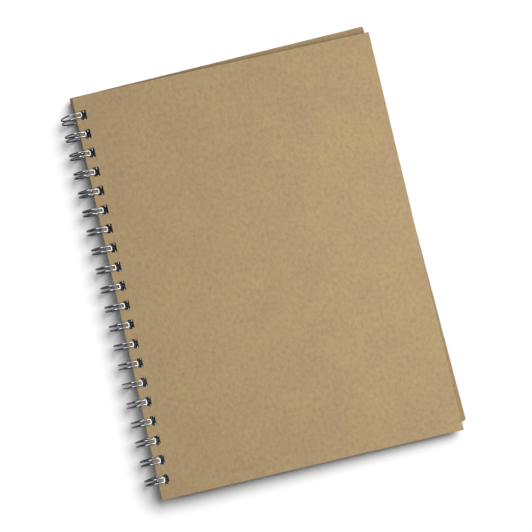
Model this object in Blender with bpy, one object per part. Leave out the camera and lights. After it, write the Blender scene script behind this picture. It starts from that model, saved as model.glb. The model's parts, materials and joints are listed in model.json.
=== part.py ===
"""A wire-bound sketchbook, lying closed: two board covers and a stack of sheets on a twin-loop wire comb.

Run with: blender --background --python part.py. Units are metres and +Z is up.
Every leaf turns about one line, the axis of the wire loops, so all objects hang from an empty on that axis.
In the book's own frame x runs from the spine to the fore edge, y along the spine to the head, and z up
through the stack, all measured from the loop axis. Angles round the loops go from +x towards +z.
"""

import math

import bpy

# Driving dimensions
LOOP_COUNT = 20
LOOP_PITCH = 0.0127
LOOP_RADIUS = 0.0077
WIRE_RADIUS = 0.00055
BOOK_LENGTH = (LOOP_COUNT + 1) * LOOP_PITCH
BOOK_WIDTH = 0.1988
COVER_THICKNESS = 0.0015
SHEET_COUNT = 20
SHEET_THICKNESS = 0.00021
LEAF_GAP = 0.000025
SHEET_MARGIN = 0.002
SPINE_EDGE = 0.0014
HOLE_SETBACK = 0.00495
HOLE_LENGTH = 0.006
HOLE_WIDTH = 0.004
SHEET_SETBACK = 0.0003
BACK_COVER_BOTTOM = -0.0046

# The covers lie a little askew on the comb, each within the play of its holes on the wire.
FRONT_COVER_TURN = math.radians(-0.3)
BACK_HOLES_TURN = math.radians(0.3)
BACK_COVER_TURN = math.radians(0.93)
BACK_COVER_SHIFT = (0.0008, 0.0015)

# The comb: each finger leaves the base under the front cover, goes down, round and over, to a U tip.
BASE_ANGLE = math.radians(18.0)
TIP_ANGLE = math.radians(48.0 - 360.0)
FINGER_HALF_GAP = 0.0014
BEND_RADIUS = 0.0009
WIRE_END = 0.0015
SEAM_CLEARANCE = 0.0003
FINGER_STEPS = 14
BEND_STEPS = 2
TIP_STEPS = 4
WIRE_BEVEL_RESOLUTION = 1

# Worked out from the dimensions above
COVER_HALF = COVER_THICKNESS / 2
FORE_EDGE = SPINE_EDGE + BOOK_WIDTH
LEAF_PITCH = SHEET_THICKNESS + LEAF_GAP
STACK_BOTTOM = BACK_COVER_BOTTOM + COVER_THICKNESS + LEAF_GAP
STACK_TOP = STACK_BOTTOM + SHEET_COUNT * LEAF_PITCH
SEAM_X = LOOP_RADIUS * math.cos(BASE_ANGLE)
SEAM_TOP = LOOP_RADIUS * math.sin(BASE_ANGLE) + WIRE_RADIUS + SEAM_CLEARANCE
FRONT_COVER_SLOPE = math.atan2(SEAM_TOP - STACK_TOP, FORE_EDGE - SEAM_X)

KRAFT = (0.42, 0.30, 0.165)
PAPER = (0.86, 0.84, 0.78)
NICKEL = (0.72, 0.73, 0.75)


def clear_scene():
    for old in list(bpy.data.objects):
        bpy.data.objects.remove(old, do_unlink=True)


def principled(name, colour, roughness, metallic=0.0):
    material = bpy.data.materials.new(name)
    material.use_nodes = True
    shader = material.node_tree.nodes["Principled BSDF"]
    shader.inputs["Base Color"].default_value = (*colour, 1.0)
    shader.inputs["Roughness"].default_value = roughness
    shader.inputs["Metallic"].default_value = metallic
    return material


def rectangle(x_min, x_max, y_min, y_max):
    return [(x_min, y_min), (x_max, y_min), (x_max, y_max), (x_min, y_max)]


def turned(points, angle, shift=(0.0, 0.0)):
    """The points turned in the leaf's plane about the middle of the spine edge, then moved by shift."""
    cos, sin = math.cos(angle), math.sin(angle)
    centre_x, centre_y = SPINE_EDGE + shift[0], shift[1]
    arms = [(x - SPINE_EDGE, y) for x, y in points]
    return [(centre_x + x * cos - y * sin, centre_y + x * sin + y * cos) for x, y in arms]


def loop_centres():
    first = -(LOOP_COUNT - 1) / 2 * LOOP_PITCH
    return [first + i * LOOP_PITCH for i in range(LOOP_COUNT)]


def holes(middle):
    """The row of rectangular binding holes, at x = middle."""
    x_min, x_max = middle - HOLE_WIDTH / 2, middle + HOLE_WIDTH / 2
    return [rectangle(x_min, x_max, y - HOLE_LENGTH / 2, y + HOLE_LENGTH / 2) for y in loop_centres()]


def cover_outline():
    return rectangle(SPINE_EDGE, FORE_EDGE, -BOOK_LENGTH / 2, BOOK_LENGTH / 2)


def front_cover_shape():
    """The cover's outline and then its holes, all turned together."""
    shape = [cover_outline()] + holes(SPINE_EDGE + HOLE_SETBACK)
    return [turned(points, FRONT_COVER_TURN) for points in shape]


def back_cover_shape():
    """The outline is more askew than the holes, which stay round the wire."""
    outline = turned(cover_outline(), BACK_COVER_TURN, BACK_COVER_SHIFT)
    return [outline] + [turned(hole, BACK_HOLES_TURN) for hole in holes(SPINE_EDGE + HOLE_SETBACK)]


def sheet_shape():
    half = BOOK_LENGTH / 2 - SHEET_MARGIN
    spine = SPINE_EDGE + SHEET_SETBACK
    return [rectangle(spine, FORE_EDGE - SHEET_MARGIN, -half, half)] + holes(spine + HOLE_SETBACK)


def punched_leaf(name, shape, thickness, material):
    """A flat leaf about z = 0. The shape is its outline and then its holes."""
    curve = bpy.data.curves.new(name, "CURVE")
    curve.dimensions = "2D"
    curve.fill_mode = "BOTH"
    curve.extrude = thickness / 2
    for points in shape:
        spline = curve.splines.new("POLY")
        spline.points.add(len(points) - 1)
        for point, (x, y) in zip(spline.points, points):
            point.co = (x, y, 0.0, 1.0)
        spline.use_cyclic_u = True
    curve.materials.append(material)
    return bpy.data.objects.new(name, curve)


def on_loop(angle, y):
    return (LOOP_RADIUS * math.cos(angle), y, LOOP_RADIUS * math.sin(angle))


def base_bend(y_wire, side):
    """The quarter turn from the base run into a finger wire at y_wire. side is -1 where the run comes in."""
    points = []
    for step in range(BEND_STEPS):
        turn = math.pi / 2 * step / BEND_STEPS
        y = y_wire + side * BEND_RADIUS * (1 - math.sin(turn))
        drop = BEND_RADIUS * (1 - math.cos(turn)) / LOOP_RADIUS
        points.append(on_loop(BASE_ANGLE - drop, y))
    return points


def finger_wire(y_wire):
    """One wire of a finger, from the base bend round to the start of its tip."""
    start = BASE_ANGLE - BEND_RADIUS / LOOP_RADIUS
    end = TIP_ANGLE + FINGER_HALF_GAP / LOOP_RADIUS
    angles = [start + (end - start) * step / FINGER_STEPS for step in range(FINGER_STEPS + 1)]
    return [on_loop(angle, y_wire) for angle in angles]


def finger_tip(y_loop):
    """The round end that joins the two wires of a finger, without its two end points."""
    points = []
    for step in range(1, TIP_STEPS):
        turn = math.pi * step / TIP_STEPS
        reach = FINGER_HALF_GAP * (1 - math.sin(turn)) / LOOP_RADIUS
        points.append(on_loop(TIP_ANGLE + reach, y_loop - FINGER_HALF_GAP * math.cos(turn)))
    return points


def comb_path():
    """The centre line of the one wire that makes every finger, from the tail of the book to its head."""
    centres = loop_centres()
    outermost = centres[-1] + FINGER_HALF_GAP + BEND_RADIUS + WIRE_END
    points = [on_loop(BASE_ANGLE, -outermost)]
    for y in centres:
        points += base_bend(y - FINGER_HALF_GAP, -1)
        points += finger_wire(y - FINGER_HALF_GAP)
        points += finger_tip(y)
        points += reversed(finger_wire(y + FINGER_HALF_GAP))
        points += reversed(base_bend(y + FINGER_HALF_GAP, 1))
    points.append(on_loop(BASE_ANGLE, outermost))
    return points


def wire_comb(material):
    curve = bpy.data.curves.new("wire_comb", "CURVE")
    curve.dimensions = "3D"
    curve.bevel_depth = WIRE_RADIUS
    curve.bevel_resolution = WIRE_BEVEL_RESOLUTION
    curve.use_fill_caps = True
    points = comb_path()
    spline = curve.splines.new("POLY")
    spline.points.add(len(points) - 1)
    for point, place in zip(spline.points, points):
        point.co = (*place, 1.0)
    curve.materials.append(material)
    return bpy.data.objects.new("wire_comb", curve)


def loop_axis():
    """The hinge axis of every leaf. The book rests on the loops and on the back cover's lowest corner,
    so it leans towards the fore edge, and the origin is under the middle of its box."""
    corners = back_cover_shape()[0] + front_cover_shape()[0]
    reach = max(x for x, _ in corners)
    loop_reach = LOOP_RADIUS + WIRE_RADIUS
    fall = math.asin(loop_reach / math.hypot(BACK_COVER_BOTTOM, reach))
    lean = fall - math.atan2(-BACK_COVER_BOTTOM, reach)
    head = max(y for _, y in corners)
    tail = min(y for _, y in corners)
    axis = bpy.data.objects.new("loop_axis", None)
    axis.location = ((loop_reach - reach * math.cos(lean)) / 2, -(head + tail) / 2, loop_reach)
    axis.rotation_euler = (0.0, lean, 0.0)
    return axis


def add_leaves(add):
    kraft = principled("kraft_board_back", KRAFT, 0.8)
    back = punched_leaf("back_cover", back_cover_shape(), COVER_THICKNESS, kraft)
    back.location.z = BACK_COVER_BOTTOM + COVER_HALF
    add(back)
    for number in range(SHEET_COUNT, 0, -1):
        paper = principled(f"paper_{number:02d}", PAPER, 0.9)
        sheet = punched_leaf(f"sheet_{number:02d}", sheet_shape(), SHEET_THICKNESS, paper)
        sheet.location.z = STACK_BOTTOM + (SHEET_COUNT - number) * LEAF_PITCH + SHEET_THICKNESS / 2
        add(sheet)
    kraft = principled("kraft_board_front", KRAFT, 0.8)
    front = punched_leaf("front_cover", front_cover_shape(), COVER_THICKNESS, kraft)
    front.location.z = SEAM_TOP + SEAM_X * math.tan(FRONT_COVER_SLOPE) + COVER_HALF
    front.rotation_euler.y = FRONT_COVER_SLOPE
    add(front)


def build():
    clear_scene()
    book = bpy.data.collections.new("sketchbook")
    bpy.context.scene.collection.children.link(book)
    axis = loop_axis()
    book.objects.link(axis)

    def add(piece):
        book.objects.link(piece)
        piece.parent = axis

    add_leaves(add)
    add(wire_comb(principled("nickel_wire", NICKEL, 0.25, metallic=1.0)))


build()
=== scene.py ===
import collections
import json
import math
import random

import bpy
from mathutils import Matrix, Vector


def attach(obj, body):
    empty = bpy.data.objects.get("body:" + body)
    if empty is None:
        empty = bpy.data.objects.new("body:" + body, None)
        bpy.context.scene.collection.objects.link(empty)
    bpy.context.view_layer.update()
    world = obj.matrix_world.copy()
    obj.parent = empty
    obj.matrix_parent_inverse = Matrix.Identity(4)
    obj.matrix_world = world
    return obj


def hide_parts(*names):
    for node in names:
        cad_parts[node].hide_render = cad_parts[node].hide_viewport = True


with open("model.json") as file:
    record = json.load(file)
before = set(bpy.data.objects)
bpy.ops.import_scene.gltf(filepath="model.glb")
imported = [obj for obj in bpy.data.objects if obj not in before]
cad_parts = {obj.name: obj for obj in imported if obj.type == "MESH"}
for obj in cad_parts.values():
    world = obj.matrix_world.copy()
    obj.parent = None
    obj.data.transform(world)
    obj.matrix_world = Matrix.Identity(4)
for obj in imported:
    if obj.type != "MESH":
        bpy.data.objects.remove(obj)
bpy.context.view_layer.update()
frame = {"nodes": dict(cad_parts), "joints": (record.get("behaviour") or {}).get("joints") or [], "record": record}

# The book's own frame: x runs from the loop axis to the fore edge, y along the spine to the head, and z up
# through the stack.
LOOP_AXIS = Vector(frame["joints"][0]["pos_m"])
MOUNTS = {mount["name"]: mount for mount in frame["record"]["mounts"]}
SHEETS = sorted(name for name in frame["nodes"] if name.startswith("sheet_"))

# The comb, in metres and radians. Angles round the loops go from +x towards +z.
LOOP_COUNT = 20
LOOP_PITCH = 0.0127
WIRE_RADIUS = 0.0005
LOOP_RADIUS = 0.0077
BASE_ANGLE = math.radians(18.0)
TIP_ANGLE = math.radians(49.5 - 360.0)
FINGER_HALF_GAP = 0.0014
BEND_RADIUS = 0.0009
TIP_DEPTH = 0.0009
TIP_SQUARENESS = 0.6
WIRE_END = 0.0015
FINGER_STEPS = 44
BEND_STEPS = 5
TIP_STEPS = 16
WIRE_BEVEL_RESOLUTION = 4

# How the loops have been bent about: they all lean, and the last ones fall over and stand open. At the joints'
# limits the wire stays within the play of the holes.
LEAN_AT_TAIL = 0.0012
LEAST_LEAN = 0.0003
LEAN_AT_HEAD = 0.0012
STRAIGHTEST_LOOP = 6
LOOPS_TO_HEAD_LEAN = 9
LEAN_JITTER = 0.00015
LEAN_LOWNESS = 2.1
LEAN_NARROWNESS = 4
BEND_AT_HEAD = 0.0008
LAST_LOOP_LEAN = 0.0004
LAST_LOOP_BEND = -0.0019
BEND_FALLOFF = 0.35
TIP_FOLLOWS_BEND = -0.25
LOOP_BULGE_AT_HEAD = 0.00045
BULGE_SHARPNESS = 10
LOOPS_OPENED = 9
OPENING_SPREAD = 1.5
TIP_OPENING = math.radians(6.0)
BEND_SEED = 7

# The boards' worn edges
EDGE_ROUNDING = 0.00016
EDGE_ROUNDING_STEPS = 2
CORNER_RADIUS = 0.0008
HOLE_CORNER_RADIUS = 0.00045
CORNER_STEPS = 6
EDGE_STEP = 0.004
EDGE_WANDER = 0.00005
FRONT_EDGE_SEED = 3
BACK_EDGE_SEED = 5
FLAT_NORMAL = 0.8
SHARP_ANGLE = math.radians(50.0)

# The sheets' binding holes: their middles lie this far from the loop axis, and their walls within this reach of
# their middles.
HOLE_ROW = 0.0066
HOLE_REACH = 0.0035

# The camera looks almost straight down, from a little towards the tail.
CAMERA_PLACE = (-0.0212, -0.0794, 1.0424)
CAMERA_TURN = (math.radians(4.3597), math.radians(-0.3094), math.radians(-13.3373))
CAMERA_LENS = 108.27
SENSOR_WIDTH = 36.0

# The studio: soft lights for the floor, for the boards and sheets, and for the wires, which see a broad light
# low beyond the fore edge and a narrow one overhead. Two low lights show the edges of the pages. The room is dim
# but pale to the eye.
FLOOR_HALF = 3.0
FLOOR_DROP = 0.0001
FLOOR_KEY_FROM = (0.68, 0.46, 1.0)
FLOOR_KEY_ANGLE = math.radians(46.0)
FLOOR_KEY_STRENGTH = 4.0
FLOOR_SIDE_FROM = (-1.0, 1.3, 0.9)
FLOOR_SIDE_ANGLE = math.radians(60.0)
FLOOR_SIDE_STRENGTH = 0.65
BOOK_KEY_PLACE = (0.24, 0.0, 0.45)
BOOK_KEY_SIZE = (0.4, 0.4)
BOOK_KEY_POWER = 1.72
BOOK_FILL_PLACE = (0.1, 0.0, 1.1)
BOOK_FILL_SIZE = (2.2, 2.2)
BOOK_FILL_POWER = 10.5
PAGE_EDGES_FROM = ((1.0, -0.8, 0.1), (-0.8, 1.0, 0.1))
PAGE_EDGES_ANGLE = math.radians(30.0)
PAGE_EDGES_STRENGTH = 0.6
WIRE_SIDE_PLACE = (0.62, 0.0, 0.36)
WIRE_SIDE_SIZE = (1.1, 0.7)
WIRE_SIDE_POWER = 4.9
WIRE_FILL_PLACE = (0.25, 0.0, 0.75)
WIRE_FILL_SIZE = (1.1, 0.6)
WIRE_FILL_POWER = 1.7
WIRE_TOP_PLACE = (-0.24, 0.0, 0.8)
WIRE_TOP_SIZE = (1.3, 0.44)
WIRE_TOP_POWER = 2.9
ROOM_FILL = 0.1
ROOM_IN_REFLECTIONS = 0.08
FLOOR_WHITE = 0.9
FLOOR_BOUNCE = 0.35
FLOOR_IN_REFLECTIONS = 0.16


# Material nodes

def nodes_of(name):
    """A new material, its node tree and its Principled shader."""
    material = bpy.data.materials.new(name)
    material.use_nodes = True
    tree = material.node_tree
    return material, tree, tree.nodes["Principled BSDF"]


def put(tree, socket, value):
    """Links value to the socket if it is a socket too, and otherwise sets it."""
    if isinstance(value, bpy.types.NodeSocket):
        tree.links.new(value, socket)
    else:
        socket.default_value = value


def place_vector(tree, scale=(1.0, 1.0, 1.0)):
    """Places in the piece's own frame, in metres times scale, which stay on the piece at any pose."""
    attribute = tree.nodes.new("ShaderNodeAttribute")
    attribute.attribute_name = "place"
    mapping = tree.nodes.new("ShaderNodeMapping")
    mapping.inputs["Scale"].default_value = scale
    tree.links.new(attribute.outputs["Vector"], mapping.inputs["Vector"])
    return mapping.outputs["Vector"]


def noise(tree, vector, scale, detail=3.0, roughness=0.5):
    node = tree.nodes.new("ShaderNodeTexNoise")
    node.inputs["Scale"].default_value = scale
    node.inputs["Detail"].default_value = detail
    node.inputs["Roughness"].default_value = roughness
    tree.links.new(vector, node.inputs["Vector"])
    return node.outputs["Fac"]


def ramp(tree, value, stops):
    """A colour ramp. Each stop is a position and a linear colour."""
    node = tree.nodes.new("ShaderNodeValToRGB")
    elements = node.color_ramp.elements
    elements[0].position, elements[1].position = stops[0][0], stops[-1][0]
    elements[0].color, elements[1].color = (*stops[0][1], 1.0), (*stops[-1][1], 1.0)
    for position, colour in stops[1:-1]:
        elements.new(position).color = (*colour, 1.0)
    tree.links.new(value, node.inputs["Fac"])
    return node.outputs["Color"]


def remap(tree, value, low_in, high_in, low_out, high_out):
    node = tree.nodes.new("ShaderNodeMapRange")
    node.inputs["From Min"].default_value = low_in
    node.inputs["From Max"].default_value = high_in
    node.inputs["To Min"].default_value = low_out
    node.inputs["To Max"].default_value = high_out
    tree.links.new(value, node.inputs["Value"])
    return node.outputs["Result"]


def mix(tree, factor, first, second, blend="MIX"):
    """Mixes two colours. factor, first and second are sockets or plain values."""
    node = tree.nodes.new("ShaderNodeMix")
    node.data_type = "RGBA"
    node.blend_type = blend
    for socket, value in ((node.inputs[0], factor), (node.inputs[6], first), (node.inputs[7], second)):
        put(tree, socket, value)
    return node.outputs[2]


def times(tree, first, second):
    """Multiplies two colours."""
    return mix(tree, 1.0, first, second, "MULTIPLY")


def maths(tree, operation, first, second=0.0):
    """A Math node. first and second are sockets or plain values."""
    node = tree.nodes.new("ShaderNodeMath")
    node.operation = operation
    for socket, value in zip(node.inputs, (first, second)):
        put(tree, socket, value)
    return node.outputs[0]


def part_of(tree, vector, axis):
    split = tree.nodes.new("ShaderNodeSeparateXYZ")
    tree.links.new(vector, split.inputs[0])
    return split.outputs[axis]


def bump(tree, shader, height, strength, distance):
    node = tree.nodes.new("ShaderNodeBump")
    node.inputs["Strength"].default_value = strength
    node.inputs["Distance"].default_value = distance
    tree.links.new(height, node.inputs["Height"])
    tree.links.new(node.outputs["Normal"], shader.inputs["Normal"])


def specks(tree, vector, scale, size, share):
    """1 on small round specks, in about this share of the cells, and 0 elsewhere."""
    cells = tree.nodes.new("ShaderNodeTexVoronoi")
    cells.inputs["Scale"].default_value = scale
    tree.links.new(vector, cells.inputs["Vector"])
    pick = tree.nodes.new("ShaderNodeSeparateColor")
    tree.links.new(cells.outputs["Color"], pick.inputs["Color"])
    chosen = maths(tree, "LESS_THAN", pick.outputs["Red"], share)
    spot = remap(tree, cells.outputs["Distance"], size, size * 0.4, 0.0, 1.0)
    return maths(tree, "MULTIPLY", spot, chosen)


# Materials

def kraft_face(name, shade):
    """Uncoated kraft board: soft clouds of tone, a fine fibrous mottle and a few dark specks. The colour is scaled
    by shade, as painted shade.
    """
    material, tree, shader = nodes_of(name)
    place = place_vector(tree)
    grain = place_vector(tree, (1.0, 0.75, 1.0))
    clouds = noise(tree, place, 38.0, 4.0, 0.55)
    mottle = noise(tree, grain, 420.0, 4.0, 0.6)
    fibres = noise(tree, grain, 1900.0, 3.0, 0.65)
    tone = ramp(tree, clouds, [(0.3, (0.401, 0.278, 0.1555)), (0.7, (0.419, 0.31, 0.1565))])
    light = ramp(tree, mottle,
                 [(0.3, (0.86, 0.85, 0.83)), (0.5, (1.0, 1.0, 1.0)), (0.72, (1.1, 1.11, 1.12))])
    fine = ramp(tree, fibres, [(0.25, (0.88, 0.87, 0.85)), (0.75, (1.1, 1.1, 1.1))])
    colour = times(tree, times(tree, tone, light), fine)
    colour = mix(tree, specks(tree, place, 85.0, 0.05, 0.13), colour, (0.17, 0.105, 0.055, 1.0))
    colour = mix(tree, specks(tree, grain, 260.0, 0.09, 0.1), colour, (0.30, 0.205, 0.11, 1.0))
    # Painted shade: the colour times shade, which darkens the back board for the shade it lies in under the front
    # board.
    colour = times(tree, colour, (shade, shade, shade, 1.0))
    tree.links.new(colour, shader.inputs["Base Color"])
    tree.links.new(remap(tree, mottle, 0.3, 0.7, 0.78, 0.9), shader.inputs["Roughness"])
    shader.inputs["Specular IOR Level"].default_value = 0.3
    bump(tree, shader, fibres, 0.35, 0.00012)
    return material


def kraft_edge():
    """The cut edge of the board: darker, with the pressed layers showing as fine lines."""
    material, tree, shader = nodes_of("kraft_edge")
    layers = noise(tree, place_vector(tree, (60.0, 60.0, 5200.0)), 1.0, 3.0, 0.6)
    fray = noise(tree, place_vector(tree), 900.0, 3.0, 0.6)
    colour = ramp(tree, layers, [(0.32, (0.135, 0.09, 0.045)), (0.68, (0.27, 0.19, 0.1))])
    shade = ramp(tree, fray, [(0.3, (0.75, 0.74, 0.72)), (0.7, (1.15, 1.15, 1.15))])
    tree.links.new(times(tree, colour, shade), shader.inputs["Base Color"])
    shader.inputs["Roughness"].default_value = 0.92
    shader.inputs["Specular IOR Level"].default_value = 0.2
    bump(tree, shader, layers, 0.6, 0.00008)
    return material


def in_holes(tree, place, facing):
    """1 on the walls of the binding holes, which are upright, near the spine and away from the head and tail:
    where painted shade goes.
    """
    upright = maths(tree, "LESS_THAN", maths(tree, "ABSOLUTE", part_of(tree, facing, "Z")), 0.5)
    from_row = maths(tree, "SUBTRACT", part_of(tree, place, "X"), LOOP_AXIS.x + HOLE_ROW)
    in_row = maths(tree, "LESS_THAN", maths(tree, "ABSOLUTE", from_row), HOLE_REACH)
    from_middle = maths(tree, "SUBTRACT", part_of(tree, place, "Y"), LOOP_AXIS.y)
    between = maths(tree, "LESS_THAN", maths(tree, "ABSOLUTE", from_middle), LOOP_COUNT * LOOP_PITCH / 2)
    return maths(tree, "MULTIPLY", maths(tree, "MULTIPLY", upright, in_row), between)


def drawing_paper():
    """Uncoated drawing paper: off-white, with a fine tooth, faint clouding and near-black painted shade on the
    walls of the holes.
    """
    material, tree, shader = nodes_of("drawing_paper")
    # A sheet's own coordinates are its place and the way it faces at rest, at any pose.
    at_rest = tree.nodes.new("ShaderNodeTexCoord")
    place = at_rest.outputs["Object"]
    clouds = noise(tree, place, 160.0, 3.0, 0.6)
    tooth = noise(tree, place, 1500.0, 3.0, 0.6)
    colour = ramp(tree, clouds, [(0.3, (0.745, 0.722, 0.668)), (0.7, (0.795, 0.777, 0.726))])
    # Painted shade: the walls of the holes get a near-black colour for the shade deep in them.
    painted_hole_shade = ramp(tree, tooth, [(0.3, (0.035, 0.032, 0.028)), (0.7, (0.08, 0.074, 0.065))])
    colour = mix(tree, in_holes(tree, place, at_rest.outputs["Normal"]), colour, painted_hole_shade)
    tree.links.new(colour, shader.inputs["Base Color"])
    tree.links.new(remap(tree, tooth, 0.3, 0.7, 0.84, 0.95), shader.inputs["Roughness"])
    shader.inputs["Specular IOR Level"].default_value = 0.25
    bump(tree, shader, tooth, 0.25, 0.00006)
    return material


def bright_wire():
    """Nickel-plated steel wire, with faint drawing marks, duller patches and a painted cool tint of the light it
    reflects.
    """
    material, tree, shader = nodes_of("bright_wire")
    place = place_vector(tree)
    patches = noise(tree, place, 400.0, 3.0, 0.6)
    # The base colour is cooler than nickel: a painted blue tint of the cool light seen in the wire's reflections.
    shader.inputs["Base Color"].default_value = (0.62, 0.66, 0.74, 1.0)
    shader.inputs["Metallic"].default_value = 1.0
    tree.links.new(remap(tree, patches, 0.3, 0.75, 0.07, 0.16), shader.inputs["Roughness"])
    bump(tree, shader, noise(tree, place, 2600.0, 2.0, 0.5), 0.12, 0.00003)
    return material


# Pieces

def leaf_matrix(mount_name, top):
    """A flat leaf's own frame: its origin on the loop axis, its z square to the mount's face and upwards."""
    normal = Vector(MOUNTS[mount_name]["axis"]) * (1.0 if top else -1.0)
    lean = math.atan2(normal.x, normal.z)
    return Matrix.Translation(LOOP_AXIS) @ Matrix.Rotation(lean, 4, "Y")


def keep_place(mesh):
    """Stores each vertex's place, in metres in the piece's own frame, for the materials."""
    place = mesh.attributes.new("place", "FLOAT_VECTOR", "POINT")
    for index, vertex in enumerate(mesh.vertices):
        place.data[index].vector = vertex.co


def add_spline(curve, points):
    """Adds a straight-sided spline through the points. In a flat curve it is closed."""
    flat = curve.dimensions == "2D"
    spline = curve.splines.new("POLY")
    spline.points.add(len(points) - 1)
    for point, place in zip(spline.points, points):
        point.co = (*place, 0.0, 1.0) if flat else (*place, 1.0)
    spline.use_cyclic_u = flat
    spline.use_smooth = True


def mesh_of(curve):
    """The mesh that the curve makes."""
    shell = bpy.data.objects.new(curve.name + "_curve", curve)
    bpy.context.scene.collection.objects.link(shell)
    bpy.context.view_layer.update()
    evaluated = shell.evaluated_get(bpy.context.evaluated_depsgraph_get())
    mesh = bpy.data.meshes.new_from_object(evaluated)
    bpy.data.objects.remove(shell)
    return mesh


def piece_of(name, mesh, matrix, materials):
    piece = bpy.data.objects.new(name, mesh)
    bpy.context.scene.collection.objects.link(piece)
    mesh.materials.clear()
    for material in materials:
        mesh.materials.append(material)
    mesh.shade_smooth()
    keep_place(mesh)
    piece.matrix_world = matrix
    return piece


def outer_sides(mesh, corner_of):
    """Each corner of the face between the vertices in corner_of, and the next one round its outline or hole."""
    sides = []
    for polygon in mesh.polygons:
        corners = [corner_of[v] for v in polygon.vertices if v in corner_of]
        if len(corners) == len(polygon.vertices):
            sides += zip(corners, corners[1:] + corners[:1])
    inner = {(b, a) for a, b in sides}
    return {a: b for a, b in sides if (a, b) not in inner}


def flat_loops(node, matrix):
    """A flat CAD leaf's outline and holes as corner points in its own frame, and its lowest and highest z."""
    mesh = frame["nodes"][node].data
    inverse = matrix.inverted()
    local = [inverse @ vertex.co for vertex in mesh.vertices]
    low, high = min(p.z for p in local), max(p.z for p in local)
    middle = (low + high) / 2
    corner_of = {i: (round(p.x, 6), round(p.y, 6)) for i, p in enumerate(local) if p.z > middle}
    after = outer_sides(mesh, corner_of)
    loops = []
    while after:
        start = next(iter(after))
        loop = [start]
        step = after.pop(start)
        while step != start:
            loop.append(step)
            step = after.pop(step)
        loops.append([Vector(p) for p in loop])
    loops.sort(key=lambda loop: -max(p.x for p in loop))
    return loops, low, high


def rounded(corners, radius, edge_step=None, wander=0.0, rng=None):
    """The corner points with each corner rounded. With edge_step, points along the sides wander a little."""
    points = []
    count = len(corners)
    for index, corner in enumerate(corners):
        before, after = corners[index - 1], corners[(index + 1) % count]
        to_before, to_after = (before - corner).normalized(), (after - corner).normalized()
        centre = corner + (to_before + to_after) * radius
        for step in range(CORNER_STEPS + 1):
            turn = math.pi / 2 * step / CORNER_STEPS
            points.append(centre - to_after * radius * math.cos(turn) - to_before * radius * math.sin(turn))
        if edge_step:
            start, end = corner + to_after * radius, after - to_after * radius
            normal = Vector((to_after.y, -to_after.x))
            steps = int((end - start).length / edge_step)
            for step in range(1, steps):
                inwards = -normal * abs(rng.gauss(0.0, wander))
                points.append(start.lerp(end, step / steps) + inwards)
    return points


def board_mesh(name, loops, thickness, rng):
    """A flat board about z = 0, with softened edges and blunted corners."""
    curve = bpy.data.curves.new(name, "CURVE")
    curve.dimensions = "2D"
    curve.fill_mode = "BOTH"
    curve.extrude = thickness / 2 - EDGE_ROUNDING
    curve.bevel_depth = EDGE_ROUNDING
    curve.bevel_resolution = EDGE_ROUNDING_STEPS
    curve.offset = -EDGE_ROUNDING
    add_spline(curve, rounded(loops[0], CORNER_RADIUS, EDGE_STEP, EDGE_WANDER, rng))
    for hole in loops[1:]:
        add_spline(curve, rounded(hole, HOLE_CORNER_RADIUS))
    return mesh_of(curve)


def board(name, node, mount, top, face, seed):
    """A cover, with its outline and its holes as the CAD has them."""
    matrix = leaf_matrix(mount, top)
    loops, low, high = flat_loops(node, matrix)
    mesh = board_mesh(name, loops, high - low, random.Random(seed))
    mesh.transform(Matrix.Translation((0.0, 0.0, (low + high) / 2)))
    piece = piece_of(name, mesh, matrix, [face, KRAFT_EDGE])
    for polygon in mesh.polygons:
        polygon.material_index = 0 if abs(polygon.normal.z) > FLAT_NORMAL else 1
    mesh.set_sharp_from_angle(angle=SHARP_ANGLE)
    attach(piece, node)
    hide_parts(node)
    return piece


Loop = collections.namedtuple("Loop", "y lean bend bulge tip_angle")


def on_loop(angle, y, bulge=0.0):
    """A point on a loop, which is round but for a bulge on the side away from its seam."""
    away = ((1.0 - math.cos(angle - BASE_ANGLE)) / 2) ** BULGE_SHARPNESS
    return Vector((LOOP_RADIUS * math.cos(angle) - bulge * away, y, LOOP_RADIUS * math.sin(angle)))


def on_finger(loop, angle, across):
    """A point on a finger's wire, across from the finger's middle, which leans most low down by the spine."""
    share = max(0.0, min(1.0, (BASE_ANGLE - angle) / (BASE_ANGLE - loop.tip_angle)))
    lean = loop.lean * math.sin(math.pi * (1.0 - share) ** LEAN_LOWNESS) ** LEAN_NARROWNESS
    bend = loop.bend * (math.sin(math.pi * share) + TIP_FOLLOWS_BEND * share ** 2)
    return on_loop(angle, loop.y + across + lean + bend, loop.bulge)


def base_bend(y_wire, side):
    """The quarter turn from the base run into a finger wire at y_wire. side is -1 where the run comes in."""
    points = []
    for step in range(BEND_STEPS):
        turn = math.pi / 2 * step / BEND_STEPS
        y = y_wire + side * BEND_RADIUS * (1 - math.sin(turn))
        drop = BEND_RADIUS * (1 - math.cos(turn)) / LOOP_RADIUS
        points.append(on_loop(BASE_ANGLE - drop, y))
    return points


def finger_wire(loop, side):
    """One wire of a finger, from the base bend round to the start of its tip."""
    start = BASE_ANGLE - BEND_RADIUS / LOOP_RADIUS
    end = loop.tip_angle + TIP_DEPTH / LOOP_RADIUS
    angles = [start + (end - start) * step / FINGER_STEPS for step in range(FINGER_STEPS + 1)]
    return [on_finger(loop, angle, side * FINGER_HALF_GAP) for angle in angles]


def finger_tip(loop):
    """The squarish end that joins the two wires of a finger, without its two end points."""
    points = []
    for step in range(1, TIP_STEPS):
        turn = math.pi * step / TIP_STEPS
        across = -math.copysign(abs(math.cos(turn)) ** TIP_SQUARENESS, math.cos(turn))
        reach = TIP_DEPTH * (1 - math.sin(turn) ** TIP_SQUARENESS) / LOOP_RADIUS
        points.append(on_finger(loop, loop.tip_angle + reach, across * FINGER_HALF_GAP))
    return points


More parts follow.
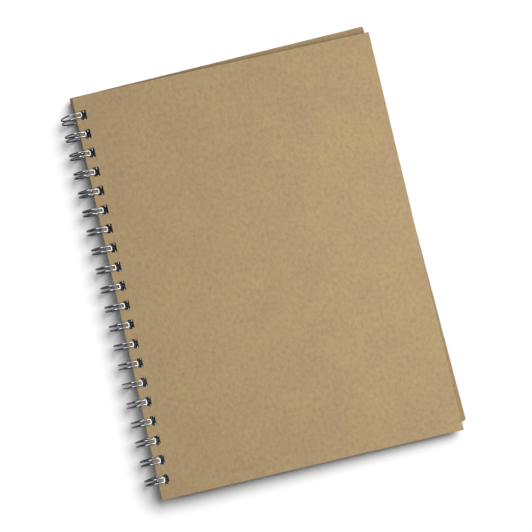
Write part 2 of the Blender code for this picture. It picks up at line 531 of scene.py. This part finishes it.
def lean_of(index):
    """How far a loop leans: least at the straightest one and more towards both ends of the comb."""
    to_tail = max(0.0, 1 - index / STRAIGHTEST_LOOP)
    to_head = min(1.0, max(0.0, (index - STRAIGHTEST_LOOP) / LOOPS_TO_HEAD_LEAN))
    return LEAST_LEAN + (LEAN_AT_TAIL - LEAST_LEAN) * to_tail + (LEAN_AT_HEAD - LEAST_LEAN) * to_head


def bent_loops():
    """The loops from the tail to the head, each with its own lean, bend and bulge."""
    rng = random.Random(BEND_SEED)
    loops = []
    for index in range(LOOP_COUNT):
        from_last = LOOP_COUNT - 1 - index
        y = (index - (LOOP_COUNT - 1) / 2) * LOOP_PITCH
        lean = lean_of(index) + rng.uniform(-LEAN_JITTER, LEAN_JITTER)
        bend = BEND_AT_HEAD * index / (LOOP_COUNT - 1) + LAST_LOOP_BEND * BEND_FALLOFF ** from_last
        opened = min(1.0, OPENING_SPREAD * max(0.0, 1 - from_last / LOOPS_OPENED))
        loops.append(Loop(y, lean, bend, LOOP_BULGE_AT_HEAD * opened, TIP_ANGLE - TIP_OPENING * opened))
    loops[-1] = loops[-1]._replace(lean=LAST_LOOP_LEAN)
    return loops


def comb_path():
    """The centre line of the one wire that makes every finger, from the tail of the book to its head."""
    loops = bent_loops()
    outermost = loops[-1].y + FINGER_HALF_GAP + BEND_RADIUS + WIRE_END
    points = [on_loop(BASE_ANGLE, -outermost)]
    for loop in loops:
        points += base_bend(loop.y - FINGER_HALF_GAP, -1)
        points += finger_wire(loop, -1)
        points += finger_tip(loop)
        points += reversed(finger_wire(loop, 1))
        points += reversed(base_bend(loop.y + FINGER_HALF_GAP, 1))
    points.append(on_loop(BASE_ANGLE, outermost))
    return points


def comb():
    curve = bpy.data.curves.new("twin_loop_wire", "CURVE")
    curve.dimensions = "3D"
    curve.bevel_depth = WIRE_RADIUS
    curve.bevel_resolution = WIRE_BEVEL_RESOLUTION
    curve.use_fill_caps = True
    add_spline(curve, comb_path())
    matrix = leaf_matrix("back_cover_face", False)
    piece = piece_of("twin_loop_wire", mesh_of(curve), matrix, [BRIGHT_WIRE])
    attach(piece, "sheet_01")
    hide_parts("wire_comb")
    return piece


def dressed_sheets():
    """The sheets, which keep their CAD shape and get the paper."""
    sheets = [frame["nodes"][name] for name in SHEETS]
    for sheet in sheets:
        for slot in sheet.material_slots:
            slot.material = DRAWING_PAPER
    return sheets


# Studio

def is_ray(tree, kind):
    """1 for the rays of one kind, such as Is Camera Ray."""
    return tree.nodes.new("ShaderNodeLightPath").outputs[kind]


def mix_shaders(tree, factor, first, second):
    node = tree.nodes.new("ShaderNodeMixShader")
    tree.links.new(factor, node.inputs[0])
    tree.links.new(first, node.inputs[1])
    tree.links.new(second, node.inputs[2])
    return node.outputs[0]


def grey(tree, value):
    """A matt grey surface."""
    node = tree.nodes.new("ShaderNodeBsdfDiffuse")
    node.inputs["Color"].default_value = (value, value, value, 1.0)
    return node.outputs[0]


def white_floor():
    """White to the eye, but it throws back less light than it shows, as a small sheet in a dark studio does."""
    material, tree, shader = nodes_of("white_floor")
    shader.inputs["Base Color"].default_value = (FLOOR_WHITE, FLOOR_WHITE, FLOOR_WHITE, 1.0)
    shader.inputs["Roughness"].default_value = 1.0
    shader.inputs["Specular IOR Level"].default_value = 0.0
    bounced, reflected = grey(tree, FLOOR_BOUNCE), grey(tree, FLOOR_IN_REFLECTIONS)
    thrown_back = mix_shaders(tree, is_ray(tree, "Is Glossy Ray"), bounced, reflected)
    surface = mix_shaders(tree, is_ray(tree, "Is Camera Ray"), thrown_back, shader.outputs[0])
    tree.links.new(surface, tree.nodes["Material Output"].inputs["Surface"])
    return material


def floor():
    half = FLOOR_HALF
    corners = [(-half, -half, 0), (half, -half, 0), (half, half, 0), (-half, half, 0)]
    mesh = bpy.data.meshes.new("floor")
    mesh.from_pydata(corners, [], [(0, 1, 2, 3)])
    mesh.materials.append(white_floor())
    ground = bpy.data.objects.new("floor", mesh)
    bpy.context.scene.collection.objects.link(ground)
    ground.location.z = -FLOOR_DROP
    return ground


def lamp(name, light, place, lit):
    """Points a light at the book from place. It lights only the objects in lit."""
    holder = bpy.data.objects.new(name, light)
    bpy.context.scene.collection.objects.link(holder)
    holder.location = place
    holder.rotation_euler = (-Vector(place)).to_track_quat("-Z", "Y").to_euler()
    receivers = bpy.data.collections.new(name + "_lights")
    for thing in lit:
        receivers.objects.link(thing)
    holder.light_linking.receiver_collection = receivers


def softbox(name, place, size, power, lit):
    """An elliptical soft light. size is its length along the spine and its length across."""
    light = bpy.data.lights.new(name, "AREA")
    light.shape = "ELLIPSE"
    light.size, light.size_y = size
    light.energy = power
    lamp(name, light, place, lit)


def distant_light(name, place, angle, strength, lit):
    light = bpy.data.lights.new(name, "SUN")
    light.angle = angle
    light.energy = strength
    lamp(name, light, place, lit)


def room():
    """The room: a dim even fill, darker still in reflections, and white behind the floor."""
    world = bpy.data.worlds.new("room")
    world.use_nodes = True
    tree = world.node_tree

    def background(strength):
        node = tree.nodes.new("ShaderNodeBackground")
        node.inputs["Color"].default_value = (1.0, 1.0, 1.0, 1.0)
        node.inputs["Strength"].default_value = strength
        return node.outputs[0]

    fill, reflected = background(ROOM_FILL), background(ROOM_IN_REFLECTIONS)
    lit = mix_shaders(tree, is_ray(tree, "Is Glossy Ray"), fill, reflected)
    seen = mix_shaders(tree, is_ray(tree, "Is Camera Ray"), lit, background(1.0))
    tree.links.new(seen, tree.nodes["World Output"].inputs["Surface"])
    bpy.context.scene.world = world


def studio(ground, boards, sheets, wire):
    room()
    distant_light("floor_key", FLOOR_KEY_FROM, FLOOR_KEY_ANGLE, FLOOR_KEY_STRENGTH, [ground])
    distant_light("floor_side", FLOOR_SIDE_FROM, FLOOR_SIDE_ANGLE, FLOOR_SIDE_STRENGTH, [ground])
    leaves = boards + sheets
    softbox("book_key", BOOK_KEY_PLACE, BOOK_KEY_SIZE, BOOK_KEY_POWER, leaves)
    softbox("book_fill", BOOK_FILL_PLACE, BOOK_FILL_SIZE, BOOK_FILL_POWER, leaves)
    for number, place in enumerate(PAGE_EDGES_FROM, 1):
        distant_light(f"page_edges_{number}", place, PAGE_EDGES_ANGLE, PAGE_EDGES_STRENGTH, sheets)
    softbox("wire_side", WIRE_SIDE_PLACE, WIRE_SIDE_SIZE, WIRE_SIDE_POWER, [wire])
    softbox("wire_fill", WIRE_FILL_PLACE, WIRE_FILL_SIZE, WIRE_FILL_POWER, [wire])
    softbox("wire_top", WIRE_TOP_PLACE, WIRE_TOP_SIZE, WIRE_TOP_POWER, [wire])
    bpy.context.scene.view_settings.view_transform = "Standard"


def camera():
    data = bpy.data.cameras.new("camera")
    data.sensor_width = SENSOR_WIDTH
    data.lens = CAMERA_LENS
    eye = bpy.data.objects.new("camera", data)
    bpy.context.scene.collection.objects.link(eye)
    eye.location = CAMERA_PLACE
    eye.rotation_euler = CAMERA_TURN
    bpy.context.scene.camera = eye


FRONT_FACE = kraft_face("kraft_front", 1.0)
# The back board's kraft is 0.88 times darker: painted shade for the strips of it that lie in the front board's
# shade.
PAINTED_SHADE_BACK_FACE = kraft_face("kraft_back_painted_shade", 0.88)
KRAFT_EDGE = kraft_edge()
DRAWING_PAPER = drawing_paper()
BRIGHT_WIRE = bright_wire()

camera()
front = board("front_board_panel", "front_cover", "front_cover_face", True,
              FRONT_FACE, FRONT_EDGE_SEED)
back = board("back_board_panel", "back_cover", "back_cover_face", False,
             PAINTED_SHADE_BACK_FACE, BACK_EDGE_SEED)
wire = comb()
studio(floor(), [front, back], dressed_sheets(), wire)
